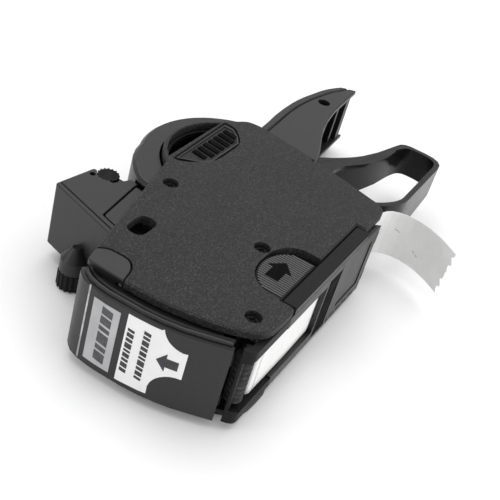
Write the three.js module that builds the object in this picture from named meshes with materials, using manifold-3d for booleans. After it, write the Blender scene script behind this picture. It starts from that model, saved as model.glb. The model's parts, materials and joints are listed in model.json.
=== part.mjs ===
// Price labelling gun: a hand-held labeller lying on its right side.
// X runs from the nose to the handle, Y from the base to the label roll, Z across the gun.
// Millimetres. Every piece is a separate closed solid, drawn as an outline in XY and given its place in Z.
import * as THREE from 'three';
import { mergeVertices } from 'three/addons/utils/BufferGeometryUtils.js';
import Module from 'manifold-3d';

const wasm = await Module();
wasm.setup();

// ---------- driving dimensions ----------
const WIDTH = 40;                 // over both side covers
const COVER = 3.2;                // side cover thickness
const FRAME = 2.2;                // chassis plate thickness
const GAP = 0.3;                  // air between neighbouring pieces
const CENTRE = [44.42, -4.41];    // middle of the outline, moved to the origin

const ROLL = [37, 20.5];          // label roll axis
const DRUM_R = 40;                // outside of the roll housing
const RING_R = 30.6;              // window ring on the side covers
const PIVOT = [52, -4];           // lever pivot
const STROKE = THREE.MathUtils.degToRad(17);   // how far the print head hangs back at rest
const LID_HINGE = [78.6, 34.4];
const BASE_HINGE = [51, -39];
const DOOR_HINGE = [-54.6, -32.6];
const INK_PIVOT = [-50, 10];
const INK_AXIS = [-34, -12.5];
const FEED_AXIS = [25, -30.4];
const APPLICATOR = [-49.2, -36.4];
const DRIVE = [-86.4, 21.6];                      // head axes, from the lever pivot at full stroke
const KNOB = [-94.9, 21.6];
const IDLER = [-70.8, 38.6];
const ANVIL = [-80, -22.8];
const POSTS = { top: [1.3, 29.8], middle: [-6.8, -15.8], front: [-42.9, -32.6] };

const LEFT_FACE = WIDTH;                          // outside of the left cover
const LEFT_IN = WIDTH - COVER;                    // its inside
const LEFT_FRAME = [LEFT_IN - GAP - FRAME, LEFT_IN - GAP];
const RIGHT_FRAME = [COVER + GAP, COVER + GAP + FRAME];
const HEAD = [6.3, 33.7];                         // print head, across the gun
const STRIP = [9, 31];                            // label strip, across the gun
const LEVER = [8.7, 31.3];                        // squeeze lever, across the gun
const GRIP = [6, 34];                             // handle, across the gun

// ---------- outlines ----------
// A closed outline from corners [x, y, radius]; the radius rounds the corner, as far as its edges allow.
const EDGE_SHARE = 0.48;

function outline(corners) {
  const shape = new THREE.Shape();
  const count = corners.length;
  corners.forEach(([x, y, radius = 0], index) => {
    const corner = new THREE.Vector2(x, y);
    if (radius === 0) {
      if (index === 0) shape.moveTo(x, y);
      else shape.lineTo(x, y);
      return;
    }
    const before = new THREE.Vector2(...corners[(index + count - 1) % count].slice(0, 2));
    const after = new THREE.Vector2(...corners[(index + 1) % count].slice(0, 2));
    before.sub(corner);
    after.sub(corner);
    const reach = Math.min(radius, EDGE_SHARE * before.length(), EDGE_SHARE * after.length());
    const start = corner.clone().add(before.setLength(reach));
    const end = corner.clone().add(after.setLength(reach));
    if (index === 0) shape.moveTo(start.x, start.y);
    else shape.lineTo(start.x, start.y);
    shape.quadraticCurveTo(x, y, end.x, end.y);
  });
  shape.closePath();
  return shape;
}

// Points along a smooth curve through the given points.
function smoothed(points, steps) {
  const curve = new THREE.SplineCurve(points.map(([x, y]) => new THREE.Vector2(x, y)));
  return curve.getPoints(steps).map(({ x, y }) => [x, y]);
}

function circle([x, y], radius) {
  const shape = new THREE.Shape();
  shape.absarc(x, y, radius, 0, Math.PI * 2);
  return shape;
}

// A ribbon of even thickness along a smooth curve through the points.
function ribbon(points, thickness, steps) {
  const path = new THREE.CatmullRomCurve3(points.map(([x, y]) => new THREE.Vector3(x, y, 0)));
  const upper = [];
  const lower = [];
  for (let step = 0; step <= steps; step += 1) {
    const point = path.getPoint(step / steps);
    const tangent = path.getTangent(step / steps);
    const side = new THREE.Vector3(-tangent.y, tangent.x, 0).multiplyScalar(thickness / 2);
    upper.push([point.x + side.x, point.y + side.y]);
    lower.unshift([point.x - side.x, point.y - side.y]);
  }
  return outline([...upper, ...lower]);
}

// The convex outline drawn tight around a set of circles [x, y, radius].
function belt(circles, steps = 16) {
  const points = circles.flatMap(([x, y, radius]) => Array.from({ length: steps }, (_, step) => {
    const angle = (step / steps) * Math.PI * 2;
    return [x + radius * Math.cos(angle), y + radius * Math.sin(angle)];
  }));
  points.sort((a, b) => a[0] - b[0] || a[1] - b[1]);
  const turn = (o, a, b) => (a[0] - o[0]) * (b[1] - o[1]) - (a[1] - o[1]) * (b[0] - o[0]);
  const half = (list) => list.reduce((chain, point) => {
    while (chain.length > 1 && turn(chain.at(-2), chain.at(-1), point) <= 1e-6) chain.pop();
    chain.push(point);
    return chain;
  }, []).slice(0, -1);
  return outline([...half(points), ...half([...points].reverse())]);
}

// A toothed wheel outline.
function toothed([x, y], root, tip, teeth) {
  const corners = [];
  const share = [0, 0.25, 0.5, 0.75];
  for (let tooth = 0; tooth < teeth; tooth += 1) {
    share.forEach((part, index) => {
      const angle = ((tooth + part) / teeth) * Math.PI * 2;
      const radius = index === 1 || index === 2 ? tip : root;
      corners.push([x + radius * Math.cos(angle), y + radius * Math.sin(angle)]);
    });
  }
  return outline(corners);
}

// ---------- solids ----------
function solid(geometry) {
  const bare = geometry.clone();
  bare.deleteAttribute('normal');
  bare.deleteAttribute('uv');
  const merged = mergeVertices(bare, 1e-4);
  return new wasm.Manifold(new wasm.Mesh({
    numProp: 3,
    vertProperties: Float32Array.from(merged.attributes.position.array),
    triVerts: Uint32Array.from(merged.index.array),
  }));
}

function slab(shape, low, high, segments = 3) {
  const options = { depth: high - low, bevelEnabled: false, curveSegments: segments };
  return solid(new THREE.ExtrudeGeometry(shape, options).translate(0, 0, low));
}

// A slab whose edges are chamfered at both faces.
function softSlab(shape, low, high, round, segments = 3) {
  const options = {
    depth: high - low - 2 * round,
    bevelEnabled: true,
    bevelThickness: round,
    bevelSize: round,
    bevelOffset: -round,
    bevelSegments: 1,
    curveSegments: segments,
  };
  return solid(new THREE.ExtrudeGeometry(shape, options).translate(0, 0, low + round));
}

function disc(centre, radius, low, high, segments = 8) {
  return slab(circle(centre, radius), low, high, segments);
}

function ring(centre, outer, inner, low, high, segments = 8) {
  const margin = 1;
  return disc(centre, outer, low, high, segments).subtract(
    disc(centre, inner, low - margin, high + margin, segments));
}

function block([x0, y0, z0], [x1, y1, z1]) {
  return slab(outline([[x0, y0], [x1, y0], [x1, y1], [x0, y1]]), z0, z1);
}

const joined = (solids) => solids.reduce((whole, piece) => whole.add(piece));
const mirrored = (piece) => piece.mirror([0, 0, 1]).translate([0, 0, WIDTH]);

// Head pieces are drawn as they stand at the end of the stroke, about the lever pivot, and swung back.
const swungBack = (piece) => piece.rotate([0, 0, -THREE.MathUtils.radToDeg(STROKE)])
  .translate([PIVOT[0], PIVOT[1], 0]);

// ---------- materials ----------
const finishes = {
  textured_plastic: [0x3b3b3d, 0.75, 0],
  smooth_plastic: [0x343436, 0.45, 0],
  gloss_plastic: [0x202022, 0.25, 0],
  dark_plastic: [0x1a1a1b, 0.6, 0],
  steel: [0xb6b9bd, 0.3, 1],
  black_steel: [0x26272a, 0.4, 0.8],
  rubber: [0x151516, 0.8, 0],
  ink_felt: [0x0d0d10, 0.95, 0],
  paper: [0xf2f2ef, 0.85, 0],
};

const gun = new THREE.Group();
gun.position.set(-CENTRE[0], -CENTRE[1], 0);

function add(name, piece, finish) {
  const { vertProperties, triVerts } = piece.getMesh();
  const geometry = new THREE.BufferGeometry();
  geometry.setAttribute('position', new THREE.BufferAttribute(Float32Array.from(vertProperties), 3));
  geometry.setIndex(new THREE.BufferAttribute(Uint32Array.from(triVerts), 1));
  geometry.computeVertexNormals();
  const [color, roughness, metalness] = finishes[finish];
  const mesh = new THREE.Mesh(geometry, new THREE.MeshStandardMaterial({ color, roughness, metalness }));
  mesh.name = name;
  gun.add(mesh);
}

// ---------- side covers ----------
const FRONT_EDGE = [[-47, -40.6, 7], [-54.2, -28, 8], [-57.8, -14, 10], [-59.6, 0, 8], [-59.6, 12, 5]];
const REAR_EDGE = [[69.6, 34.6, 3], [70.8, 27.5, 6], [68, 10, 12], [66.4, -3, 12], [61.6, -22, 12],
  [57, -39.4, 5]];
const NOSE_CORNER = [-58.6, 23.6, 4];

function coverOutline(bottom) {
  const top = [NOSE_CORNER, [14, 39.9], [37, 30], [59.6, 40.9]];
  return outline([...top, ...REAR_EDGE, ...bottom, ...FRONT_EDGE]);
}

function coverPlate(shape) {
  const round = 0.7;
  const plate = slab(shape, LEFT_IN, LEFT_IN + 1.4).add(softSlab(shape, LEFT_IN, LEFT_FACE, round));
  const windowRing = softSlab(circle(ROLL, RING_R), LEFT_IN, LEFT_FACE, round, 16)
    .add(disc(ROLL, RING_R, LEFT_IN, LEFT_IN + 1.4, 16));
  return plate.add(windowRing);
}

const WINDOW_R = 28.9;
const WINDOW_SILL = 41;
const SCREW_HEAD_FLOOR = 37.3;

const INSPECTION = [[-36.1, 25.4, 3.6], [-23.7, 25.4, 3.6], [-23.7, 17.8, 3.6], [-36.1, 17.8, 3.6]];

function coverCuts() {
  const above = LEFT_FACE + 1;
  const below = LEFT_IN - 1;
  const windowHole = disc(ROLL, WINDOW_R, below, above, 16)
    .intersect(block([-10, WINDOW_SILL, below], [90, 70, above]));
  const badge = outline([[16.8, 39.3, 1], [59.6, 40.3, 1], [59.6, 34.5, 5], [50.5, 26.3, 5],
    [27.6, 26.3, 6], [17.2, 35.5, 3]]);
  const badgeRecess = slab(badge, LEFT_FACE - 0.8, above);
  const screwHoles = Object.values(POSTS).flatMap((post) => [
    disc(post, 3.2, SCREW_HEAD_FLOOR, above), disc(post, 1.7, below, above, 6)]);
  const studNotch = disc([65.2, -1.9], 1.7, below, above, 6);
  return joined([windowHole, badgeRecess, ...screwHoles, studNotch]);
}

const LATCH_TRAVEL = 4;
const LATCH = { left: -27.4, right: -0.4, low: -35.2, high: -19.4, shoulder: -30 };

// The latch pad: straight sides and an arched top.
function latchArch(grow) {
  const { left, right, low, high, shoulder } = LATCH;
  const steps = 16;
  const arch = Array.from({ length: steps + 1 }, (_, step) => {
    const angle = (step / steps) * Math.PI;
    return [(left + right) / 2 + ((right - left) / 2 + grow) * Math.cos(angle),
      shoulder + (high - shoulder + grow) * Math.sin(angle)];
  });
  return outline([[left - grow, low - 2 * grow], [right + grow, low - 2 * grow], ...arch]);
}

function latchHole(low, high) {
  const arch = slab(latchArch(GAP), low, high);
  const middle = (LATCH.left + LATCH.right) / 2;
  const between = block([middle, LATCH.low, low], [middle + LATCH_TRAVEL, LATCH.high + GAP, high]);
  return joined([arch, between, arch.translate([LATCH_TRAVEL + GAP, 0, 0])]);
}

function leftCover() {
  const bottom = [[36.6, -39.4], [36.6, -35.0], [-28, -35.0], [-28, -41.2, 2], [-37, -41.3, 4]];
  const tongueHole = slab(outline(TONGUE_HOLE), LEFT_IN - 1, LEFT_FACE + 1);
  const plate = coverPlate(coverOutline(bottom)).subtract(coverCuts()).subtract(tongueHole);
  const openings = latchHole(LEFT_IN - 1, LEFT_FACE + 1)
    .add(slab(outline(INSPECTION), LEFT_IN - 1, LEFT_FACE + 1));
  return plate.subtract(openings);
}

// The way the selector knob takes past the right cover and chassis plate during the stroke.
function knobPath(low, high) {
  const room = 6.6;
  const reach = Math.hypot(...KNOB);
  const end = Math.atan2(KNOB[1], KNOB[0]);
  const start = end - 1.5 * STROKE;
  const track = new THREE.Shape();
  track.absarc(...PIVOT, reach + room, start, end, false);
  track.absarc(...PIVOT, reach - room, end, start, true);
  track.closePath();
  const turn = [PIVOT[0] + KNOB[0], PIVOT[1] + KNOB[1]];
  return slab(track, low, high, 16).add(disc(turn, room, low, high, 12));
}

function rightCover() {
  const bottom = [[-28, -39.4], [-30, -41.2, 2], [-37, -41.3, 4]];
  return mirrored(coverPlate(coverOutline(bottom)).subtract(coverCuts())).subtract(knobPath(-1, COVER + 1));
}

const TONGUE = [[-59.2, 23.2, 1.2], [-52, 24.9, 0.5], [-49.2, 21.5, 4], [-48.9, 13, 4], [-52.6, 9.6, 3],
  [-59.5, 8.2]];
const TONGUE_HOLE = [[-64, 30], [-51.6, 30], [-51.6, 24.9], [-48.8, 21.7, 4], [-48.5, 12.8, 4],
  [-52.4, 9.2, 3], [-64, 7]];

add('left_side_cover', leftCover(), 'textured_plastic');
add('right_side_cover', rightCover(), 'textured_plastic');

// ---------- chassis ----------
const LATCH_STEM = { x: [-18, -11], y: [-30, -26] };

function framePlate(isLeft) {
  const [low, high] = isLeft ? LEFT_FRAME : RIGHT_FRAME;
  const edge = outline([[-55.5, 16, 3], [12, 33.5], [37, 25], [60, 37], [66, 30, 3], [65, 2, 4],
    [62.5, -4], [55, -33, 3], [48, -33.5], [46, -37.5, 2], [-38, -37.5, 2], [-50, -30.5, 4], [-56, -6, 4]]);
  const bossDepth = 8;
  const bossEnds = isLeft ? [low - bossDepth, high] : [low, high + bossDepth];
  let plate = slab(edge, low, high).add(disc(ROLL, 29.8, low, high, 16)).add(disc(ROLL, 4, ...bossEnds));
  const pins = [[PIVOT, 2.5], [INK_PIVOT, 1.6], [FEED_AXIS, 1.8]];
  const holes = [...pins, ...Object.values(POSTS).map((post) => [post, 1.7])];
  holes.forEach(([centre, radius]) => {
    plate = plate.subtract(disc(centre, radius, low - 1, high + 1, 6));
  });
  plate = plate.subtract(disc(ROLL, 1.6, bossEnds[0] - 1, bossEnds[1] + 1, 6));
  if (!isLeft) return plate.subtract(knobPath(low - 1, high + 1));
  const window = disc(ROLL, WINDOW_R - 1, low - 1, high + 1, 16)
    .intersect(block([-10, WINDOW_SILL + 1, low - 1], [90, 70, high + 1]));
  const slot = block([LATCH_STEM.x[0] - 6, LATCH_STEM.y[0] - 0.6, low - 1],
    [LATCH_STEM.x[1] + LATCH_TRAVEL + 0.6, LATCH_STEM.y[1] + 0.6, high + 1]);
  const inspection = slab(outline(INSPECTION), low - 1, high + 1);
  return plate.subtract(slot).subtract(window).subtract(inspection);
}

add('left_frame_plate', framePlate(true), 'dark_plastic');
add('right_frame_plate', framePlate(false), 'dark_plastic');

Object.entries(POSTS).forEach(([place, centre]) => {
  const post = ring(centre, 3.2, 1.65, RIGHT_FRAME[1] + GAP, LEFT_FRAME[0] - GAP, 6);
  add(`${place}_spacer_post`, post, 'dark_plastic');
  const head = disc(centre, 2.3, SCREW_HEAD_FLOOR + GAP, SCREW_HEAD_FLOOR + 1.3, 8);
  const socketFloor = SCREW_HEAD_FLOOR + 0.7;
  const socket = block([centre[0] - 1.4, centre[1] - 0.4, socketFloor],
    [centre[0] + 1.4, centre[1] + 0.4, LEFT_FACE]).add(block([centre[0] - 0.4, centre[1] - 1.4,
    socketFloor], [centre[0] + 0.4, centre[1] + 1.4, LEFT_FACE]));
  const screw = head.add(disc(centre, 1.35, 26, SCREW_HEAD_FLOOR + 1, 6)).subtract(socket);
  add(`left_${place}_screw`, screw, 'black_steel');
  add(`right_${place}_screw`, mirrored(screw), 'black_steel');
});

add('lever_pivot_pin', disc(PIVOT, 2.2, RIGHT_FRAME[0], LEFT_FRAME[1], 8), 'steel');

// ---------- roll housing ----------
const LID_FROM = THREE.MathUtils.degToRad(20);
const LID_TO = THREE.MathUtils.degToRad(113);

function roundTheRoll(radius, from, to, clockwise, shape) {
  shape.absarc(ROLL[0], ROLL[1], radius, from, to, clockwise);
  return shape;
}

// The front of the roll housing, from the drum down to the side covers.
const DRUM_FRONT = [[17.2, 56.4], [12.4, 54.4], [7.7, 51.4], [3.6, 47.9], [0.4, 44.3]];
const DRUM_FOOT = [[-1.2, 42], [-1.9, 39.4], [-2.2, 36.6]];

function throughPoints(shape, points) {
  points.forEach(([x, y]) => shape.lineTo(x, y));
}

function rollHousing() {
  const wall = 2.1;
  const side = new THREE.Shape();
  side.moveTo(...DRUM_FOOT[2]);
  side.lineTo(9, 39.6);
  roundTheRoll(31.4, THREE.MathUtils.degToRad(142), LID_FROM, true, side);
  roundTheRoll(DRUM_R, LID_FROM, LID_TO, false, side);
  throughPoints(side, [...DRUM_FRONT, DRUM_FOOT[0], DRUM_FOOT[1]]);
  side.closePath();
  const crown = new THREE.Shape();
  crown.moveTo(2, 43);
  throughPoints(crown, [[5.1, 46.4], [9, 49.8], [13.4, 52.6], [18, 54.5]]);
  roundTheRoll(DRUM_R - wall, LID_TO, LID_FROM, true, crown);
  roundTheRoll(DRUM_R, LID_FROM, LID_TO, false, crown);
  throughPoints(crown, DRUM_FRONT);
  crown.closePath();
  const [low, high] = [RIGHT_FRAME[0], LEFT_FRAME[1]];
  const cheeks = slab(side, low, low + FRAME, 16).add(slab(side, high - FRAME, high, 16));
  const roof = slab(crown, low, high, 16);
  const rounded = softSlab(lidBlank(), low, high, 1.3, 16);
  const knuckle = ring(LID_HINGE, 2.6, 1.5, 12.3, 27.7, 6)
    .add(block([73.6, 32.4, 12.3], [77.4, 35.4, 27.7]).subtract(disc(LID_HINGE, 2, 12, 28, 6)));
  return cheeks.add(roof).intersect(rounded).add(knuckle);
}

function lidBlank() {
  const blank = new THREE.Shape();
  blank.moveTo(-2.2, 30);
  blank.lineTo(74.2, 20);
  roundTheRoll(DRUM_R, LID_FROM, LID_TO, false, blank);
  throughPoints(blank, [...DRUM_FRONT, ...DRUM_FOOT]);
  blank.closePath();
  return blank;
}

add('roll_housing', rollHousing(), 'smooth_plastic');
add('roll_housing_hinge_pin', disc(LID_HINGE, 1.2, 6.5, 33.5, 6), 'steel');

add('roll_hub', ring(ROLL, 12.4, 4.4, ...STRIP, 10), 'dark_plastic');
add('label_roll', ring(ROLL, 19, 12.8, ...STRIP, 14), 'paper');

// ---------- handle ----------
const HANDLE_TOP = smoothed([[72, 31.6], [85, 32.1], [98, 33.4], [111, 33.8], [124, 32.9], [140, 29.9],
  [148, 27]], 16);
const HANDLE_END = [[151.6, 25.2], [153.3, 21.9], [153.45, 21.6], [155.4, 17.9]];
const HANDLE_BOTTOM = smoothed([[149, 17.6], [131, 16.6], [118, 14.8], [104.5, 11.4], [94, 7.4], [84.5, 3.5],
  [74, 0.5]], 14);
const SPINE = 3.6;

function handleGrip() {
  const wall = 2.2;
  const [low, high] = GRIP;
  const under = HANDLE_TOP.map(([x, y]) => [x, y - SPINE - GAP]);
  const sides = outline([[63.5, 27], ...under, HANDLE_END[2], HANDLE_END[3], ...HANDLE_BOTTOM, [63.5, 12]]);
  const cheeks = softSlab(sides, low, high, 0.6).add(slab(sides, low + 1, high - 1))
    .subtract(slab(sides, low + wall, high - wall));
  const ribs = [[66, 17, 24], [106, 17.6, 29], [114, 19, 29.4], [122, 20, 28.8], [142, 19.4, 25]];
  const across = ribs.map(([x, from, to]) => block([x - 1, from, low + 1], [x + 1, to, high - 1]));
  const boss = disc([128.5, 23.2], 4.4, low + 1, high - 1, 8);
  const tip = block([148, 18.4, low + 1], [152, 21, high - 1]);
  const bore = disc([128.5, 23.2], 3, high - 4, high + 1, 8).add(disc([128.5, 23.2], 1.7, 14, high + 1, 6));
  return joined([cheeks, ...across, boss, tip]).subtract(bore);
}

function handleSpine() {
  const [low, high] = GRIP;
  const under = HANDLE_TOP.map(([x, y]) => [x, y - SPINE]).reverse();
  const cap = softSlab(outline([...HANDLE_TOP, HANDLE_END[0], HANDLE_END[1], ...under]), low, high, 0.6);
  const knuckle = (from, to) => ring(LID_HINGE, 2.5, 1.5, from, to, 6)
    .add(block([77, 30.6, from], [80.4, 33, to]).subtract(disc(LID_HINGE, 2, from - 1, to + 1, 6)));
  const saddle = disc(LID_HINGE, 3, 12, 28, 8);
  return cap.subtract(saddle).add(knuckle(7.2, 11.9)).add(knuckle(28.1, 32.8));
}

add('handle_grip', handleGrip(), 'smooth_plastic');
add('handle_spine', handleSpine(), 'smooth_plastic');
const handleScrew = disc([128.5, 23.2], 2.6, 30.3, 31.8, 8).add(disc([128.5, 23.2], 1.35, 15, 31, 6));
add('handle_screw', handleScrew, 'black_steel');

// ---------- squeeze lever ----------
const LEVER_TOP = smoothed([[74, 6.2], [84.4, 3.8], [92.3, -1.9], [104.5, -8.4], [119.1, -13],
  [131.4, -15.3]], 14);
const LEVER_TAPER = { from: 80, to: 142, share: 0.6 };

// A slab whose width across the gun shrinks towards the free end of the lever.
function taperedSlab(shape, low, high) {
  const geometry = new THREE.ExtrudeGeometry(shape, {
    depth: high - low, bevelEnabled: false, curveSegments: 4,
  }).translate(0, 0, low);
  const { position } = geometry.attributes;
  const middle = WIDTH / 2;
  for (let index = 0; index < position.count; index += 1) {
    const way = (position.getX(index) - LEVER_TAPER.from) / (LEVER_TAPER.to - LEVER_TAPER.from);
    const share = 1 - (1 - LEVER_TAPER.share) * Math.max(0, way);
    position.setZ(index, middle + (position.getZ(index) - middle) * share);
  }
  return solid(geometry);
}

function squeezeLever() {
  const [low, high] = LEVER;
  const outside = outline([[60, 3.6], ...LEVER_TOP, [141.2, -17.4, 12], [141.8, -38.9, 10],
    [82, -40.4, 6], [70, -33, 6], [61.5, -18, 5], [50, -12]]);
  const inside = outline([[72, 0], [84.4, 0.5], [93.1, -5], [105.2, -11.4], [119.5, -15.9], [130.7, -17.9, 3],
    [138.6, -20.6, 9], [139, -36.4, 8], [83.5, -37.9, 5], [72.6, -31.4, 5], [66, -19, 4], [66, -8, 3]]);
  const loop = taperedSlab(outside, low, high).subtract(slab(inside, low - 1, high + 1, 4));
  const flangeTop = [[60, -10], [60, 2.8], [74, 5.2], [84, 2.8], [92, -2.9]];
  const longFlange = outline([...flangeTop, [104.2, -9.3], [118.9, -13.8], [128.7, -15.9], [128.5, -18.2],
    [117.4, -18, 4], [101.4, -14.2, 6], [88.2, -7.4, 6], [78, -6], [70, -9]]);
  const shortFlange = outline([...flangeTop, [88, -5, 3], [78, -6], [70, -9]]);
  const hub = disc(PIVOT, 8, low, high, 10);
  const hollow = disc(PIVOT, 6.2, 13, 27, 8).add(block([PIVOT[0] - 12, PIVOT[1] - 12, 13],
    [PIVOT[0] + 1, PIVOT[1] + 12, 27]));
  const bore = disc(PIVOT, 2.5, low - 1, high + 1, 8);
  const cheeks = taperedSlab(longFlange, high - 2, high).add(taperedSlab(shortFlange, low, low + 2));
  return joined([loop, cheeks, hub]).subtract(hollow).subtract(bore);
}

add('squeeze_lever', squeezeLever(), 'gloss_plastic');
add('lever_return_spring', ring(PIVOT, 4.6, 3, 14, 26, 8), 'steel');

// ---------- print head ----------
const BANDS = 6;
const BAND_START = 13;
const BAND_PITCH = (STRIP[1] - BAND_START) / BANDS;
const BAND_GAP = 0.4;
const PINION_TEETH = 9;
const GEAR_TEETH = 11;
const SELECTOR_GEARS = [8.8, 12.3];
const KNOB_ROOM = 7.6;
const FLANGE_R = 4.4;

function headArm(isLeft) {
  const thick = 1.9;
  const [low, high] = isLeft ? [HEAD[1] - thick, HEAD[1]] : [HEAD[0], HEAD[0] + thick];
  const plate = outline([[-88.4, 17.3, 1], [-66, 27.2, 1], [-64, 9, 3], [0, 7.5], [6, 0, 5], [0, -6],
    [-66, -6, 4], [-76, -26, 2], [-84.4, -26, 2], [-88.4, -10, 3]]);
  let arm = slab(plate, low, high).add(disc([0, 0], 8, low, high));
  const holes = [[[0, 0], 2.5], [ANVIL, 1.5]];
  holes.forEach(([centre, radius]) => {
    arm = arm.subtract(disc(centre, radius, low - 1, high + 1, 6));
  });
  return swungBack(arm);
}

function headHousing() {
  const wall = 1.7;
  const [low, high] = HEAD;
  const side = outline([[-91, 41.7], [-73.4, 44.2, 1.5], [-73, 33.2, 0.6], [-64.4, 32.2, 0.8],
    [-64.2, 28.4], [-66.6, 27.8], [-88.8, 17.9], [-88.8, 6], [-91, 6]]);
  const box = softSlab(side, low, high, 0.3).add(slab(side, low + 1, high - 1));
  const hollow = outline([[-95, 0], [-92, 40], [-90, 40], [-75, 42.2], [-75, 45], [-60, 45], [-60, 0]]);
  const walls = box.subtract(slab(hollow, low + wall, high - wall));
  const ear = belt([[...IDLER, 2.6], [-69, 30, 3.4]]);
  const ears = [low + 1, high - 2.4].map((from) => slab(ear, from, from + 0.9));
  const axleHoles = disc(IDLER, 1.6, low - 1, high + 1, 6).add(disc(DRIVE, 1.6, low - 1, high - 0.6, 6));
  const sightHole = disc([-76.6, 41.1], 1.2, high - wall - 1, high + 1, 8);
  const flangeRoom = disc(IDLER, FLANGE_R + GAP, high - 1.5, high + 1, 8);
  const cuts = joined([axleHoles, sightHole, flangeRoom, knobRoom()]);
  return swungBack(joined([walls, ...ears]).subtract(cuts));
}

// The corner of the head that the fluted knob sits in.
function knobRoom() {
  return disc(KNOB, 6, HEAD[0] - 1, KNOB_ROOM, 12);
}

function headFront() {
  const [low, high] = HEAD;
  const plate = outline([[-93.4, 41.3, 1.6], [-91.3, 41.7], [-91.3, -4], [-93.4, -4, 0.8]]);
  const bossTop = 13;
  const cone = solid(new THREE.CylinderGeometry(1.6, 5.4, 5, 32).rotateX(Math.PI / 2)
    .translate(...KNOB, bossTop + 2.5));
  const boss = disc(KNOB, 5.4, KNOB_ROOM, bossTop, 8).add(cone);
  const pocket = disc(KNOB, 4.4, 8.5, 12.9, 8).add(disc(KNOB, 2.2, low - 1, 9, 6));
  const inside = block([-91.3, 0, low - 1], [-85, 40, high + 1]);
  const face = softSlab(plate, low, high, 0.3).subtract(knobRoom());
  return swungBack(face.add(boss).subtract(pocket).subtract(inside));
}

function printBand(index) {
  const low = BAND_START + index * BAND_PITCH;
  const high = low + BAND_PITCH - BAND_GAP;
  const path = (grow) => belt([[...DRIVE, 3.7 + grow], [...IDLER, 3.9 + grow], [...ANVIL, 2.4 + grow]]);
  return swungBack(slab(path(1.1), low, high).subtract(slab(path(0), low - 1, high + 1)));
}

add('left_head_arm', headArm(true), 'smooth_plastic');
add('right_head_arm', headArm(false), 'smooth_plastic');
add('print_head_housing', headHousing(), 'smooth_plastic');
add('print_head_front', headFront(), 'smooth_plastic');
for (let index = 0; index < BANDS; index += 1) {
  add(`print_band_${index + 1}`, printBand(index), 'rubber');
}
// Each band has its own wheel; the first also carries the gear that the knob's pinion turns.
function bandWheel(index) {
  const low = BAND_START + index * BAND_PITCH;
  const wheel = slab(toothed(DRIVE, 2.9, 3.4, 6), low, low + BAND_PITCH - BAND_GAP);
  const gear = slab(toothed(DRIVE, 3.7, 4.3, GEAR_TEETH), ...SELECTOR_GEARS);
  const blank = index > 0 ? wheel : joined([wheel, gear, disc(DRIVE, 2.9, SELECTOR_GEARS[1] - 1, low + 1)]);
  return swungBack(blank.subtract(disc(DRIVE, 1.6, 5, low + BAND_PITCH, 6)));
}

for (let index = 0; index < BANDS; index += 1) {
  add(`band_wheel_${index + 1}`, bandWheel(index), 'dark_plastic');
}
add('band_wheel_shaft', swungBack(disc(DRIVE, 1.3, HEAD[0], HEAD[1] - 0.9, 6)), 'steel');
const idlerFlange = slab(toothed(IDLER, FLANGE_R - 0.6, FLANGE_R, 16), HEAD[1] - 1.2, HEAD[1] - 0.1);
add('band_idler_roller', swungBack(disc(IDLER, 3.6, STRIP[0], STRIP[1], 8)
  .add(disc(IDLER, 1.3, HEAD[0] + 1.1, HEAD[1] - 1, 6)).add(idlerFlange)), 'dark_plastic');
add('type_anvil', swungBack(disc(ANVIL, 2.1, STRIP[0], STRIP[1], 8)
  .add(disc(ANVIL, 1.2, HEAD[0] + 0.1, HEAD[1] - 0.1, 6))), 'dark_plastic');

// The knob, its stub shaft and the pinion that turns the first band wheel are one moulding.
function selectorKnob() {
  const fluted = slab(toothed(KNOB, 5.1, 5.6, 16), 0.4, 7.3);
  const pinion = slab(toothed(KNOB, 3.3, 4, PINION_TEETH), ...SELECTOR_GEARS);
  return swungBack(joined([fluted, disc(KNOB, 1.9, 5, 12.4, 6), pinion]));
}

add('selector_knob', selectorKnob(), 'dark_plastic');

// ---------- ink roller ----------
function inkCage() {
  const cheek = (low) => slab(belt([[...INK_PIVOT, 3], [...INK_AXIS, 2.6]]), low, low + 1.6)
    .subtract(disc(INK_PIVOT, 1.6, low - 1, low + 3, 6)).subtract(disc(INK_AXIS, 1.3, low - 1, low + 3, 6));
  const bridge = belt([[-47.8, 3.2, 1.1], [-49.2, 5.2, 1.1]]);
  return cheek(10.4).add(cheek(28)).add(slab(bridge, 10.4, 29.6));
}

add('ink_cage', inkCage(), 'smooth_plastic');
add('ink_roller', disc(INK_AXIS, 4.5, 12.4, 27.6, 10).add(disc(INK_AXIS, 1, 10.4, 29.6, 6)), 'ink_felt');
add('ink_pivot_pin', disc(INK_PIVOT, 1.3, RIGHT_FRAME[0], LEFT_FRAME[1], 6), 'steel');

// ---------- base ----------
function nose() {
  const [low, high] = [RIGHT_FRAME[0], LEFT_FRAME[1]];
  const wall = outline([[-55.6, -36.9, 0.6], [-54, -41.3, 7], [-30, -41.3], [-30, -38.6], [-46, -38.6],
    [-52.8, -38, 4], [-53.5, -36.9]]);
  const opening = block([-53.2, -45, STRIP[0] - 1], [-29, -30, STRIP[1] + 1])
    .add(block([-57, -45, STRIP[0]], [-53, -38.1, STRIP[1]]));
  const cheekShape = outline([[-51, -34.9], [-46.8, -34.9], [-46.8, -39.4], [-52.4, -39.2, 3],
    [-52.6, -37.4]]);
  const inset = GAP + FRAME;
  const cheek = (from) => slab(cheekShape, from, from + 2)
    .subtract(disc(APPLICATOR, 1.4, from - 1, from + 3, 6));
  return joined([slab(wall, low, high).subtract(opening), cheek(low + inset), cheek(high - inset - 2)]);
}

add('nose_frame', nose(), 'dark_plastic');

const APPLICATOR_R = 3.4;
add('applicator_roller', disc(APPLICATOR, APPLICATOR_R, STRIP[0] + 0.5, STRIP[1] - 0.5, 8)
  .add(disc(APPLICATOR, 1.1, RIGHT_FRAME[1] + GAP, LEFT_FRAME[0] - GAP, 6)), 'rubber');

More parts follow.
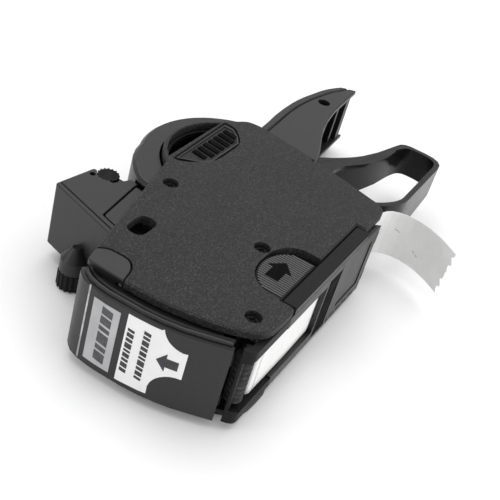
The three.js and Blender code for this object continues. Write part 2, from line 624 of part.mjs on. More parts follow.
function platen() {
  const top = outline([[-34.2, -33.2], [-34.6, -32.5], [-34, -32], [-11, -32], [-11, -33.8], [-33.4, -34.8]]);
  return slab(top, RIGHT_FRAME[1] + GAP, LEFT_FRAME[0] - GAP);
}

add('platen', platen(), 'smooth_plastic');

function feedWheel() {
  const hub = disc(FEED_AXIS, 4.6, 14, 26, 10);
  const star = (low) => slab(toothed(FEED_AXIS, 5.4, 6.4, 10), low, low + 2.4);
  return joined([hub, star(14), star(23.6)]).subtract(disc(FEED_AXIS, 1.9, 13, 27, 8));
}

add('feed_wheel', feedWheel(), 'dark_plastic');
add('feed_axle', disc(FEED_AXIS, 1.5, RIGHT_FRAME[0], LEFT_FRAME[1], 6), 'steel');

const FLOOR = [-41.3, -39.7];

function bottomCover() {
  const [low, high] = [RIGHT_FRAME[0], LEFT_FRAME[1]];
  const floor = block([-29.6, FLOOR[0], low], [50, FLOOR[1], high]);
  const railEnds = [-27.4, 36];
  const railShape = outline([[railEnds[0], FLOOR[0]], [railEnds[1], FLOOR[0], 1], [railEnds[1], -35.4, 1],
    [railEnds[0], -35.4]]);
  const rail = softSlab(railShape, LEFT_IN, LEFT_FACE - 0.5, 0.5).add(slab(railShape, LEFT_IN, LEFT_IN + 1));
  const railRoot = block([railEnds[0], FLOOR[0] + 0.1, 33], [railEnds[1], FLOOR[1], 37.5]);
  const window = block([-31, FLOOR[0] - 1, STRIP[0] - 0.5], [3, FLOOR[1] + 1, STRIP[1] + 0.5]);
  const channel = block([4.5, FLOOR[0] - 1, low + 1.5], [15.5, FLOOR[0] + 0.5, high - 1.5]);
  const rear = block([24, FLOOR[0] - 1, STRIP[0]], [45, FLOOR[0] + 0.4, STRIP[1]]);
  const knuckle = (from) => ring(BASE_HINGE, 2.2, 1.5, from, from + 5, 6)
    .add(block([47, FLOOR[0], from], [50, -38.6, from + 5])
      .subtract(disc(BASE_HINGE, 1.9, from - 1, from + 6, 6)));
  const saddle = disc(BASE_HINGE, 2.6, low - 1, high + 1, 8);
  const plate = floor.subtract(window).subtract(saddle).subtract(channel).subtract(rear);
  return joined([plate, rail, railRoot, knuckle(8), knuckle(27)]);
}

add('bottom_cover', bottomCover(), 'smooth_plastic');
add('base_hinge_pin', disc(BASE_HINGE, 1.2, RIGHT_FRAME[1] + GAP, LEFT_FRAME[0] - GAP, 6), 'steel');

function latch() {
  const pad = latchArch(0);
  const stem = block([LATCH_STEM.x[0], LATCH_STEM.y[0], 33], [LATCH_STEM.x[1], LATCH_STEM.y[1], 38]);
  return softSlab(pad, LEFT_IN, LEFT_FACE - 0.4, 0.4).add(slab(pad, LEFT_IN, LEFT_IN + 1)).add(stem);
}

add('base_latch', latch(), 'smooth_plastic');
const springAt = [LATCH_STEM.x[0] - 5.6, LATCH_STEM.x[0] - GAP];
const latchSpring = solid(new THREE.CylinderGeometry(0.8, 0.8, springAt[1] - springAt[0], 8)
  .rotateZ(Math.PI / 2).translate((springAt[0] + springAt[1]) / 2, -28, 35.4));
add('latch_spring', latchSpring, 'steel');

// ---------- front cover ----------
function frontCover() {
  const [low, high] = [RIGHT_FRAME[0], LEFT_FRAME[1]];
  const line = [[-60.6, 23], [-63.6, 19.6], [-65.2, 13], [-65.5, 4], [-64.7, -9], [-61.9, -21.4],
    [-56.9, -34.6]];
  const shell = softSlab(ribbon(line, 2.1, 12), low, high, 0.5);
  const moved = (along, share) => line.map(([x, y]) => [x + along, y * share]);
  const lip = softSlab(ribbon(moved(0.7, 0.97), 1.5, 10), high - 1, high + 1.1, 0.35);
  const tongue = softSlab(outline(TONGUE), LEFT_IN + 0.6, LEFT_FACE - 0.2, 0.4);
  const roofLine = [...moved(4, 0.97).slice(0, -1), [-54.7, -29]];
  const roof = softSlab(ribbon(roofLine, 7, 12), high - 2.1, high - 0.7, 0.4);
  const ridge = softSlab(ribbon(moved(3.6, 0.95), 1.3, 12), high - 1.5, high + 0.1, 0.35);
  const neck = block([-59.1, 11, high - 1.6], [-57.2, 20, LEFT_FACE - 1.6]);
  const knuckle = (from) => ring(DOOR_HINGE, 1.9, 1.3, from, from + 4, 6)
    .add(block([-58, -34.2, from], [-55.4, -31.4, from + 4])
      .subtract(disc(DOOR_HINGE, 1.6, from - 1, from + 5, 6)));
  return joined([shell, lip, roof, ridge, tongue, neck, knuckle(9), knuckle(27)]);
}

add('front_cover', frontCover(), 'smooth_plastic');
add('front_cover_hinge_pin', disc(DOOR_HINGE, 1, RIGHT_FRAME[1] + GAP, LEFT_FRAME[0] - GAP, 6), 'steel');

// ---------- label strip ----------
const WEB = 0.4;
const web = [[20.2, 8.6], [12, -8], [4, -23], [-3, -30], [-14, -31.5], [-32, -31.5], [-37.4, -32.7],
  [-39.6, -35.8], [-42.6, -36.9], [-44.4, -38.1], [-43.4, -39.2], [-41, -39.3]];
const backing = [[-40.6, -39.3], [2, -39.3], [10, -38.2], [18, -37.6], [30, -37.4], [42, -36.6],
  [51, -35.6], [57, -35.8]];
const tail = [[57.6, -35.8], [66, -35.5], [72.3, -38.2], [75.3, -44.5], [75, -53.5], [71, -62.8],
  [65, -71.4]];
add('label_web', slab(ribbon(web, WEB, 30), ...STRIP), 'paper');
add('backing_strip', slab(ribbon(backing, WEB, 14), ...STRIP), 'paper');
add('liner_tail', slab(ribbon(tail, WEB, 14), ...STRIP), 'paper');

export default gun;
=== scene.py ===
"""Price labelling gun lying on its right side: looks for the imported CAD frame. Metres."""

import json
import math
import random

import bmesh
import bpy
from mathutils import Matrix, Vector


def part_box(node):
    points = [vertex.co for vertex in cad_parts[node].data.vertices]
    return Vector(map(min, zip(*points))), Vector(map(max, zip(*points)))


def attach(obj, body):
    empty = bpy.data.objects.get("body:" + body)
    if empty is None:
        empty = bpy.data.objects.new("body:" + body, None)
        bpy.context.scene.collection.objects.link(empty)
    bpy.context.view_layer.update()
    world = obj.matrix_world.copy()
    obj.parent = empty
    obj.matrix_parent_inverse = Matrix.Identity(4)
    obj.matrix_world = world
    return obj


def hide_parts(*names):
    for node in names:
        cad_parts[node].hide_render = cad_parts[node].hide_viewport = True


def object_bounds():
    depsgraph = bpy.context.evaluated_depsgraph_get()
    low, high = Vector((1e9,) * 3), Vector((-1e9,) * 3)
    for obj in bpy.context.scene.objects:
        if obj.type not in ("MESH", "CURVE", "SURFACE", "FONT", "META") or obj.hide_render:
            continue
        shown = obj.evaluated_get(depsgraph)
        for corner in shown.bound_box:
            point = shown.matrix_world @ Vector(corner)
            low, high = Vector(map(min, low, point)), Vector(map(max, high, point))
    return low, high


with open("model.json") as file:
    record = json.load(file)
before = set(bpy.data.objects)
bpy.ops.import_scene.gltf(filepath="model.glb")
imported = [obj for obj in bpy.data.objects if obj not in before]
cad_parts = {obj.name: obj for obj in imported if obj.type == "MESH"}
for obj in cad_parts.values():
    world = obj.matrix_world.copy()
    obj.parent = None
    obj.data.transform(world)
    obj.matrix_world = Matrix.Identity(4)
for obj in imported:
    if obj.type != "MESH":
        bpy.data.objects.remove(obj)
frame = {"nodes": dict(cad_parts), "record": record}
cad_low, cad_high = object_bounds()
BODIES = frame["record"]["behaviour"]["bodies"]
BODY_OF = {node: body for body, nodes in BODIES.items() for node in nodes}
SLOT_OF = {row["node"]: row["material_slot"] for row in frame["record"]["subparts"]}
JOINTS = {joint["name"]: joint for joint in frame["record"]["behaviour"]["joints"]}

MM = 0.001
LEVER_PIVOT = Vector((52.0 * MM, -4.0 * MM, 0.0))   # where the gun's own drawing puts it
SHIFT = Vector(JOINTS["trigger_squeeze"]["pos_m"]) - LEVER_PIVOT
SHIFT.z = 0.0
COVER_TOP = cad_high.z
SINK = 0.05 * MM                  # how far an added piece is sunk into what it sits on
random.seed(7)


# ---------- materials ----------
class Nodes:
    """Short helper that adds and links shader nodes of one material."""

    def __init__(self, name):
        """Starts a material that is placed by object coordinates."""
        self.material = bpy.data.materials.new(name)
        self.material.use_nodes = True
        self.tree = self.material.node_tree
        self.shader = self.tree.nodes["Principled BSDF"]
        self.place = self.add("ShaderNodeTexCoord").outputs["Object"]

    def add(self, kind, **inputs):
        """A new node. Keyword names are socket names, with _ for a space."""
        node = self.tree.nodes.new(kind)
        for key, value in inputs.items():
            self.feed(node, key.replace("_", " "), value)
        return node

    def feed(self, node, key, value):
        """Links a socket to an input, or sets the input's value."""
        socket = node.inputs[int(key) if key.isdigit() else key]
        if isinstance(value, bpy.types.NodeSocket):
            self.tree.links.new(value, socket)
        else:
            socket.default_value = value

    def noise(self, scale, detail=2.0, rough=0.5, vector=None):
        """Noise over the object, or over the vector given."""
        node = self.add("ShaderNodeTexNoise", Scale=scale, Detail=detail, Roughness=rough)
        self.tree.links.new(vector or self.place, node.inputs["Vector"])
        return node.outputs["Fac"]

    def ramp(self, value, low, high, at_low, at_high):
        """Stretches a value's span from low..high to at_low..at_high."""
        node = self.add("ShaderNodeMapRange", Value=value)
        keys = ("From Min", "From Max", "To Min", "To Max")
        for key, number in zip(keys, (low, high, at_low, at_high)):
            node.inputs[key].default_value = number
        return node.outputs["Result"]

    def maths(self, operation, first, second=0.0):
        """One operation on two numbers."""
        node = self.tree.nodes.new("ShaderNodeMath")
        node.operation = operation
        self.feed(node, "0", first)
        self.feed(node, "1", second)
        return node.outputs["Value"]

    def mix(self, factor, first, second):
        """Blends two colours."""
        node = self.tree.nodes.new("ShaderNodeMix")
        node.data_type = "RGBA"
        self.feed(node, "0", factor)
        for index, value in ((6, first), (7, second)):
            if isinstance(value, bpy.types.NodeSocket):
                self.tree.links.new(value, node.inputs[index])
            else:
                node.inputs[index].default_value = (*value, 1.0)
        return node.outputs[2]

    def bump(self, height, strength, distance, under=None):
        """A normal roughened by a height, over another bump if one is given."""
        node = self.add("ShaderNodeBump", Height=height, Strength=strength, Distance=distance)
        if under is not None:
            self.tree.links.new(under, node.inputs["Normal"])
        return node.outputs["Normal"]

    def finish(self, **inputs):
        """Feeds the shader and gives the finished material."""
        for key, value in inputs.items():
            self.feed(self.shader, key.replace("_", " "), value)
        return self.material


def plastic(name, dark, light, rough, grain, grain_depth, gloss=0.5, sparked=False):
    """Moulded plastic: cloudy tone and fine grain. Sparked plastic has a coarse sandy grain."""
    n = Nodes(name)
    cloud = n.ramp(n.noise(38.0, 4.0), 0.3, 0.7, 0.0, 1.0)
    tone = n.mix(cloud, dark, light)
    speck = n.ramp(n.noise(grain * 1.2, 1.0), 0.5, 0.72, 0.0, 1.0 if sparked else 0.2)
    tone = n.mix(speck, tone, tuple(min(1.0, c * 2.6 + 0.012) for c in light))
    smear = n.ramp(n.noise(75.0, 5.0, 0.6), 0.3, 0.7, -0.02, 0.03)
    roughness = n.maths("ADD", smear, rough)
    fine = n.noise(grain, 3.0, 0.6)
    waves = n.bump(n.noise(55.0, 2.0), 0.05, 0.0004)
    return n.finish(Base_Color=tone, Roughness=roughness, Specular_IOR_Level=gloss,
                    Normal=n.bump(fine, grain_depth, 0.0006 if sparked else 0.0002, waves))


def edge_wear_and_painted_highlight(name, dark, light, rough):
    """The polished, slightly paler plastic of an edge: partly rubbed wear, partly a painted highlight."""
    n = Nodes(name)
    tone = n.mix(n.ramp(n.noise(260.0, 3.0), 0.35, 0.65, 0.0, 1.0), dark, light)
    roughness = n.maths("ADD", n.ramp(n.noise(120.0, 4.0), 0.3, 0.7, -0.05, 0.06), rough)
    return n.finish(Base_Color=tone, Roughness=roughness,
                    Normal=n.bump(n.noise(1200.0, 2.0), 0.1, 0.0001))


def metal(name, tint, rough, stretch):
    """Turned or brushed metal with lines round the part and a few dull spots."""
    n = Nodes(name)
    line = n.add("ShaderNodeMapping", Vector=n.place, Scale=stretch).outputs["Vector"]
    lines = n.noise(900.0, 3.0, 0.6, line)
    tone = n.mix(n.ramp(n.noise(140.0, 4.0), 0.35, 0.7, 0.0, 1.0), tint, tuple(c * 0.72 for c in tint))
    roughness = n.maths("ADD", n.ramp(lines, 0.3, 0.7, -0.06, 0.1), rough)
    return n.finish(Base_Color=tone, Metallic=1.0, Roughness=roughness,
                    Normal=n.bump(lines, 0.25, 0.00005))


def rubber(name, tone_low, tone_high, dust, gloss=0.5):
    """Matt rubber with a share of paper dust."""
    n = Nodes(name)
    tone = n.mix(n.ramp(n.noise(90.0, 4.0), 0.3, 0.7, 0.0, 1.0), tone_low, tone_high)
    powder = n.maths("MULTIPLY", n.ramp(n.noise(420.0, 5.0, 0.7), 0.52, 0.7, 0.0, 1.0), dust)
    tone = n.mix(powder, tone, (0.20, 0.20, 0.20))
    return n.finish(Base_Color=tone, Roughness=n.ramp(n.noise(120.0, 3.0), 0.3, 0.7, 0.62, 0.85),
                    Specular_IOR_Level=gloss, Normal=n.bump(n.noise(1500.0, 3.0), 0.3, 0.0001))


def felt(name):
    """Felt soaked in dark ink."""
    n = Nodes(name)
    tone = n.mix(n.noise(300.0, 5.0, 0.7), (0.004, 0.004, 0.009), (0.02, 0.02, 0.032))
    return n.finish(Base_Color=tone, Roughness=n.ramp(n.noise(80.0, 3.0), 0.35, 0.65, 0.75, 0.95),
                    Normal=n.bump(n.noise(2600.0, 4.0, 0.8), 0.8, 0.0003))


def paper(name, light, shade, rough=0.62):
    """Coated paper: fibres, faint mottling and a soft crease relief."""
    n = Nodes(name)
    mottle = n.ramp(n.noise(160.0, 5.0, 0.6), 0.35, 0.7, 0.0, 1.0)
    fibres = n.noise(2100.0, 4.0, 0.7)
    tone = n.mix(n.maths("MULTIPLY", mottle, 0.5), light, shade)
    tone = n.mix(n.ramp(fibres, 0.55, 0.75, 0.0, 0.25), tone, shade)
    soft = n.bump(n.noise(70.0, 2.0), 0.2, 0.0004)
    roughness = n.maths("ADD", n.ramp(mottle, 0.0, 1.0, -0.04, 0.06), rough)
    return n.finish(Base_Color=tone, Roughness=roughness, Sheen_Weight=0.1,
                    Normal=n.bump(fibres, 0.15, 0.00005, soft))


def foil(name):
    """Silver sticker: satin print with fine lines and a little wear."""
    n = Nodes(name)
    line = n.add("ShaderNodeMapping", Vector=n.place, Scale=(1.0, 1.0, 0.04)).outputs["Vector"]
    lines = n.noise(2400.0, 2.0, 0.5, line)
    tone = n.mix(n.ramp(n.noise(110.0, 4.0), 0.3, 0.7, 0.0, 1.0), (0.40, 0.40, 0.41), (0.50, 0.50, 0.51))
    return n.finish(Base_Color=tone, Metallic=0.35, Normal=n.bump(lines, 0.12, 0.00004),
                    Roughness=n.ramp(lines, 0.3, 0.7, 0.38, 0.5))


def ink_print(name, tone):
    """Printed ink, a little thin in places."""
    n = Nodes(name)
    thin = tuple(c * 1.9 + 0.01 for c in tone)
    ink = n.mix(n.ramp(n.noise(900.0, 4.0, 0.7), 0.4, 0.7, 0.0, 1.0), tone, thin)
    return n.finish(Base_Color=ink, Roughness=n.ramp(n.noise(300.0, 2.0), 0.3, 0.7, 0.5, 0.7),
                    Normal=n.bump(n.noise(1800.0, 2.0), 0.1, 0.00003))


MATERIALS = {
    "textured_plastic": plastic("grained_cover_plastic", (0.013, 0.013, 0.0135), (0.018, 0.018, 0.0185),
                                0.58, 1550.0, 1.0, 0.3, True),
    "smooth_plastic": plastic("satin_black_plastic", (0.009, 0.009, 0.0095), (0.012, 0.012, 0.0125),
                              0.42, 2400.0, 0.12, 0.45),
    "gloss_plastic": plastic("polished_black_plastic", (0.005, 0.005, 0.006), (0.008, 0.008, 0.009),
                             0.26, 2600.0, 0.05, 0.25),
    "dark_plastic": plastic("dull_black_plastic", (0.0025, 0.0025, 0.003), (0.0045, 0.0045, 0.005),
                            0.55, 1900.0, 0.3, 0.2),
    "screw_steel": metal("blackened_steel", (0.014, 0.014, 0.016), 0.42, (1.0, 1.0, 1.0)),
    "pin_steel": metal("bright_steel", (0.62, 0.63, 0.65), 0.24, (1.0, 1.0, 0.05)),
    "band_rubber": rubber("band_rubber", (0.004, 0.004, 0.005), (0.008, 0.008, 0.009), 0.05, 0.2),
    "roller_rubber": rubber("roller_rubber", (0.012, 0.012, 0.012), (0.022, 0.022, 0.022), 0.3),
    "ink_felt": felt("ink_soaked_felt"),
    "label_paper": paper("backing_paper", (0.84, 0.84, 0.83), (0.72, 0.72, 0.72)),
}
# Paler plastic for the rounded edges: partly rubbed wear, partly a painted highlight along the edges.
EDGES = {
    "textured_plastic": edge_wear_and_painted_highlight("cover_edge_wear_and_painted_highlight", (0.045, 0.045, 0.046),
                                    (0.09, 0.09, 0.092), 0.4),
    "smooth_plastic": edge_wear_and_painted_highlight("satin_edge_wear_and_painted_highlight", (0.018, 0.018, 0.019),
                                  (0.04, 0.04, 0.041), 0.25),
    "gloss_plastic": edge_wear_and_painted_highlight("gloss_edge_wear_and_painted_highlight", (0.009, 0.009, 0.010),
                                 (0.018, 0.018, 0.019), 0.18),
    "dark_plastic": edge_wear_and_painted_highlight("dark_edge_wear_and_painted_highlight", (0.007, 0.007, 0.008),
                                (0.014, 0.014, 0.015), 0.5),
}
CARD = paper("white_card", (0.86, 0.86, 0.86), (0.78, 0.78, 0.78), 0.5)
CARD_SHADE = paper("pressed_paper", (0.34, 0.34, 0.34), (0.28, 0.28, 0.28), 0.6)
FOIL = foil("silver_sticker_film")
# Pale colour for the panel's bend: a painted highlight on the rounded bend.
BEND_PAINTED_HIGHLIGHT = edge_wear_and_painted_highlight("bend_painted_highlight", (0.30, 0.30, 0.30), (0.55, 0.55, 0.55), 0.2)
PRINT = ink_print("dark_print", (0.022, 0.022, 0.024))
GREY_PRINT = ink_print("grey_print", (0.05, 0.05, 0.053))
SHADOW_BLACK = rubber("shadow_black_rubber", (0.0015, 0.0015, 0.0018), (0.003, 0.003, 0.0034),
                      0.02, 0.06)


# ---------- mesh helpers ----------
def new_piece(name, bm, material, body, smooth=False):
    """Turns a bmesh into an object that rides on a body."""
    mesh = bpy.data.meshes.new(name)
    bmesh.ops.recalc_face_normals(bm, faces=bm.faces[:])
    bm.to_mesh(mesh)
    bm.free()
    for polygon in mesh.polygons:
        polygon.use_smooth = smooth
    piece = bpy.data.objects.new(name, mesh)
    bpy.context.scene.collection.objects.link(piece)
    mesh.materials.append(material)
    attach(piece, body)
    return piece


def prism(bm, corners, axis_low, axis_high, place=None):
    """Adds a closed prism over 2-D corners. place turns (u, v, w) into a point, or they are x, y, z."""
    place = place or (lambda u, v, w: Vector((u, v, w)))
    low = [bm.verts.new(place(u, v, axis_low)) for u, v in corners]
    high = [bm.verts.new(place(u, v, axis_high)) for u, v in corners]
    bm.faces.new(low[::-1])
    bm.faces.new(high)
    count = len(corners)
    for index in range(count):
        after = (index + 1) % count
        bm.faces.new((low[index], low[after], high[after], high[index]))


def box_corners(x0, y0, x1, y1):
    """The four corners of an upright rectangle."""
    return [(x0, y0), (x1, y0), (x1, y1), (x0, y1)]


def tube(bm, points, radius, sides=8):
    """Adds a closed tube along the points."""
    rings = []
    for index, point in enumerate(points):
        before = points[max(index - 1, 0)]
        after = points[min(index + 1, len(points) - 1)]
        along = (after - before).normalized()
        side = along.cross(Vector((0.0, 0.0, 1.0)))
        if side.length < 1e-3:
            side = along.cross(Vector((0.0, 1.0, 0.0)))
        side.normalize()
        up = side.cross(along)
        rings.append([bm.verts.new(point + radius * (math.cos(a) * side + math.sin(a) * up))
                      for a in (2 * math.pi * step / sides for step in range(sides))])
    join_rings(bm, rings)
    bm.faces.new(rings[0][::-1])
    bm.faces.new(rings[-1])


def join_rings(bm, rings):
    """Adds the quads between neighbouring closed rings of vertices."""
    count = len(rings[0])
    for first, second in zip(rings, rings[1:]):
        for index in range(count):
            after = (index + 1) % count
            bm.faces.new((first[index], first[after], second[after], second[index]))


def refine(node, width, segments=2, flat_angle=3.0, bevel_angle=32.0):
    """A finer copy of a CAD node: flat faces merged, edges rounded inwards, curves shaded smoothly."""
    bm = bmesh.new()
    bm.from_mesh(frame["nodes"][node].data)
    bmesh.ops.remove_doubles(bm, verts=bm.verts[:], dist=2e-6)
    bmesh.ops.dissolve_limit(bm, angle_limit=math.radians(flat_angle), verts=bm.verts[:],
                             edges=bm.edges[:])
    piece = new_piece(f"{node}_detailed", bm, MATERIALS[SLOT_OF[node]], BODY_OF[node], smooth=True)
    bevel = piece.modifiers.new("rounded_edges", "BEVEL")
    bevel.width = width
    bevel.segments = segments
    bevel.limit_method = "ANGLE"
    bevel.angle_limit = math.radians(bevel_angle)
    bevel.use_clamp_overlap = True
    bevel.harden_normals = False
    # The bevels take the paler edge material: rubbed wear together with a painted highlight.
    if SLOT_OF[node] in EDGES:
        piece.data.materials.append(EDGES[SLOT_OF[node]])
        bevel.material = 1
    weighted = piece.modifiers.new("even_shading", "WEIGHTED_NORMAL")
    weighted.keep_sharp = True
    weighted.weight = 80
    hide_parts(node)
    return piece


# ---------- CAD nodes carried into the visual model ----------
EDGE_WIDTHS = {
    "left_side_cover": 0.25, "right_side_cover": 0.25, "roll_housing": 0.35, "handle_grip": 0.3,
    "handle_spine": 0.35, "squeeze_lever": 0.4, "print_head_housing": 0.35, "print_head_front": 0.35,
    "front_cover": 0.2, "nose_frame": 0.35, "bottom_cover": 0.25, "base_latch": 0.2,
    "left_head_arm": 0.25, "right_head_arm": 0.25, "selector_knob": 0.15, "feed_wheel": 0.15,
    "ink_cage": 0.2, "left_frame_plate": 0.2, "right_frame_plate": 0.2, "platen": 0.15,
}
SMALL_EDGE = 0.12
BANDS = range(1, 7)
OWN_SHAPES = {"lever_return_spring", "latch_spring", "liner_tail", "backing_strip", "label_web",
              "label_roll", "applicator_roller"} | {f"print_band_{index}" for index in BANDS}
refined = {}
for node in sorted(frame["nodes"]):
    if node not in OWN_SHAPES:
        refined[node] = refine(node, EDGE_WIDTHS.get(node, SMALL_EDGE) * MM)


refined["band_idler_roller"].data.materials[0] = MATERIALS["band_rubber"]


def darken_rail():
    """The base's side rail shows a dull black top, darker than the base's own plastic."""
    mesh = refined["bottom_cover"].data
    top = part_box("bottom_cover")[1].z
    mesh.materials.append(MATERIALS["dark_plastic"])
    for polygon in mesh.polygons:
        if polygon.normal.z > 0.7 and polygon.center.z > top - 0.5 * MM:
            polygon.material_index = 2


darken_rail()


def darken_arm():
    """The stretch of the left head arm that stays under the cover is made near-black: painted shade inside
    the inspection hole.
    """
    mesh = refined["left_head_arm"].data
    shade_top = 30.6 * MM + SHIFT.y
    bm = bmesh.new()
    bm.from_mesh(mesh)
    bmesh.ops.bisect_plane(bm, geom=bm.verts[:] + bm.edges[:] + bm.faces[:], plane_co=(0, shade_top, 0),
                           plane_no=(0, 1, 0))
    # Faces below the cut get the near-black material: painted shade.
    mesh.materials.append(SHADOW_BLACK)
    for face in bm.faces:
        if face.calc_center_median().y < shade_top:
            face.material_index = 2
    bm.to_mesh(mesh)
    bm.free()


darken_arm()


# ---------- springs ----------
def coil(name, node, centre, radius, wire, turns, low, high, across, material):
    """A wound spring round an axis along Z, or along X when across is true."""
    points = []
    steps = int(turns * 20)
    for step in range(steps + 1):
        share = step / steps
        angle = 2 * math.pi * turns * share
        along = low + wire + (high - low - 2 * wire) * share
        u, v = radius * math.cos(angle), radius * math.sin(angle)
        points.append(Vector((along, centre[0] + u, centre[1] + v)) if across
                      else Vector((centre[0] + u, centre[1] + v, along)))
    bm = bmesh.new()
    tube(bm, points, wire / 2, 8)
    piece = new_piece(name, bm, material, BODY_OF[node], smooth=True)
    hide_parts(node)
    return piece


low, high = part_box("lever_return_spring")
coil("lever_return_spring_wound", "lever_return_spring", ((low.x + high.x) / 2, (low.y + high.y) / 2),
     (high.x - low.x) / 2 - 0.8 * MM, 1.3 * MM, 7, low.z, high.z, False, MATERIALS["pin_steel"])
low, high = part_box("latch_spring")
coil("latch_spring_wound", "latch_spring", ((low.y + high.y) / 2, (low.z + high.z) / 2),
     (high.y - low.y) / 2 - 0.2 * MM, 0.35 * MM, 7, low.x, high.x, True, MATERIALS["pin_steel"])


# ---------- rollers, label roll and bands ----------
LATHE_EDGE = 0.08 * MM
JOURNAL_R = 1.0 * MM              # applicator roller
JOURNAL_LENGTH = 3.7 * MM
RIB_DEPTH = 0.5 * MM
ROLL_BORE = 12.9 * MM
PAPER_TURNS = 22
TURN_GAP = 0.03 * MM
TYPE_PITCH = 1.9 * MM             # print bands
TYPE_HALF = 0.5 * MM
TYPE_SUNK = 0.1 * MM
TYPE_PROUD = 0.45 * MM
TYPE_SIDE = 0.25 * MM


def lathe(name, node, centre, rows, steps, material):
    """A turned piece round a Z axis from (radius, z) rows, closed at both ends."""
    bm = bmesh.new()
    rings = []
    for radius, z in rows:
        rings.append([bm.verts.new((centre[0] + radius * math.cos(a), centre[1] + radius * math.sin(a), z))
                      for a in (2 * math.pi * step / steps for step in range(steps))])
    join_rings(bm, rings)
    if rows[0] != rows[-1]:
        bm.faces.new(rings[0][::-1])
        bm.faces.new(rings[-1])
    else:
        bmesh.ops.remove_doubles(bm, verts=bm.verts[:], dist=1e-7)
    piece = new_piece(name, bm, material, BODY_OF[node], smooth=True)
    piece.modifiers.new("even_shading", "WEIGHTED_NORMAL")
    edges = piece.modifiers.new("rounded_edges", "BEVEL")
    edges.width = LATHE_EDGE
    edges.limit_method = "ANGLE"
    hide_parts(node)
    return piece


def ribbed_roller():
    """Applicator roller: soft ribs along its length and thin journals at the ends."""
    low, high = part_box("applicator_roller")
    centre = ((low.x + high.x) / 2, (low.y + high.y) / 2)
    outer = (high.x - low.x) / 2
    start, end = low.z + JOURNAL_LENGTH, high.z - JOURNAL_LENGTH
    rows = [(JOURNAL_R, low.z), (JOURNAL_R, start)]
    ribs = 9
    pitch = (end - start) / ribs
    for rib in range(ribs):
        z = start + rib * pitch
        rows += [(outer - RIB_DEPTH, z), (outer, z + 0.18 * pitch), (outer, z + 0.72 * pitch),
                 (outer - RIB_DEPTH, z + 0.9 * pitch)]
    rows += [(outer - RIB_DEPTH, end), (JOURNAL_R, end), (JOURNAL_R, high.z)]
    return lathe("applicator_roller_ribbed", "applicator_roller", centre, rows, 32,
                 MATERIALS["roller_rubber"])


def wound_roll():
    """Label roll: many turns of paper, each edge a hair above or below its neighbours."""
    low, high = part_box("label_roll")
    centre = ((low.x + high.x) / 2, (low.y + high.y) / 2)
    outer = (high.x - low.x) / 2
    lift = [random.uniform(0.0, 0.35) * MM for _ in range(PAPER_TURNS)]
    edges = [ROLL_BORE + (outer - ROLL_BORE) * turn / PAPER_TURNS for turn in range(PAPER_TURNS + 1)]
    rows = []
    for turn in range(PAPER_TURNS):
        z = high.z - lift[turn]
        rows += [(edges[turn], z), (edges[turn + 1] - TURN_GAP, z)]
    for turn in reversed(range(PAPER_TURNS)):
        z = low.z + lift[turn]
        rows += [(edges[turn + 1] - TURN_GAP, z), (edges[turn], z)]
    rows.append(rows[0])
    return lathe("label_roll_wound", "label_roll", centre, rows, 64, MATERIALS["label_paper"])


def toothed_band(index):
    """A print band with a raised block on its outside at each character."""
    node = f"print_band_{index}"
    refine(node, 0.1 * MM)
    low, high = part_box(node)
    rim = belt_outline(node)
    blocks = bmesh.new()
    for start, end in zip(rim, rim[1:] + rim[:1]):
        along = end - start
        outward = Vector((along.y, -along.x)).normalized()
        count = int(along.length / TYPE_PITCH)
        for block in range(count):
            spot = start + along * ((block + 0.5) / count)
            side = along.normalized() * TYPE_HALF
            foot, head = outward * -TYPE_SUNK, outward * TYPE_PROUD
            corners = [spot - side + foot, spot + side + foot,
                       spot + side * 0.8 + head, spot - side * 0.8 + head]
            prism(blocks, [(c.x, c.y) for c in corners], low.z + TYPE_SIDE, high.z - TYPE_SIDE)
    new_piece(f"{node}_type_blocks", blocks, MATERIALS["band_rubber"], BODY_OF[node])


def belt_outline(node):
    """The convex outer outline of a belt node, counter-clockwise."""
    vertices = frame["nodes"][node].data.vertices
    points = sorted({(round(v.co.x, 6), round(v.co.y, 6)) for v in vertices})

    def half(sequence):
        """One half of the convex outline of points in order."""
        chain = []
        for x, y in sequence:
            while len(chain) > 1:
                (ax, ay), (bx, by) = chain[-2], chain[-1]
                if (bx - ax) * (y - ay) - (by - ay) * (x - ax) > 1e-11:
                    break
                chain.pop()
            chain.append((x, y))
        return chain[:-1]

    return [Vector(p) for p in half(points) + half(points[::-1])]


ribbed_roller()
wound_roll()
for index in BANDS:
    toothed_band(index)


# ---------- paper strips ----------
RIBBON_REACH = 0.55 * MM          # a little more than a ribbon's thickness in the CAD
TEAR_START = 0.86                 # share of the length where the tear begins
LINER_PAPER = 0.12 * MM
WEB_PAPER = 0.14 * MM             # backing paper and labels
TAIL_COLUMNS, TAIL_ROWS = 90, 44
STRIP_COLUMNS, STRIP_ROWS = 60, 6
MARK_HALF = 0.09 * MM
MARK_HEIGHT = 0.35 * MM
MARK_STEP = 0.5 * MM


def centre_line(node, first_end, count):
    """Points along the middle of a thin ribbon node, from the end nearest first_end."""
    low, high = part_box(node)
    left = []
    for vertex in frame["nodes"][node].data.vertices:
        point = Vector((vertex.co.x, vertex.co.y))
        on_top = abs(vertex.co.z - high.z) < 1e-6
        if on_top and all((point - other).length > 1e-7 for other in left):
            left.append(point)
    here = min(left, key=lambda p: (p - first_end).length)
    middles = []
    while left:
        near = sorted(left, key=lambda p: (p - here).length)
        pair = [p for p in near if (p - here).length < RIBBON_REACH] or near[:1]
        middle = sum(pair, Vector((0.0, 0.0))) / len(pair)
        middles.append(middle)
        for point in pair:
            left.remove(point)
        if left:
            here = min(left, key=lambda p: (p - middle).length)
    return resample(middles, count), low.z, high.z


def resample(points, count):
    """The given number of points, evenly spaced along a line."""
    lengths = [0.0]
    for a, b in zip(points, points[1:]):
        lengths.append(lengths[-1] + (b - a).length)
    result = []
    for step in range(count):
        want = lengths[-1] * step / (count - 1)
        index = max(i for i, length in enumerate(lengths[:-1]) if length <= want + 1e-12)
        span = lengths[index + 1] - lengths[index]
        share = (want - lengths[index]) / span if span else 0.0
        result.append(points[index].lerp(points[index + 1], share))
    return result


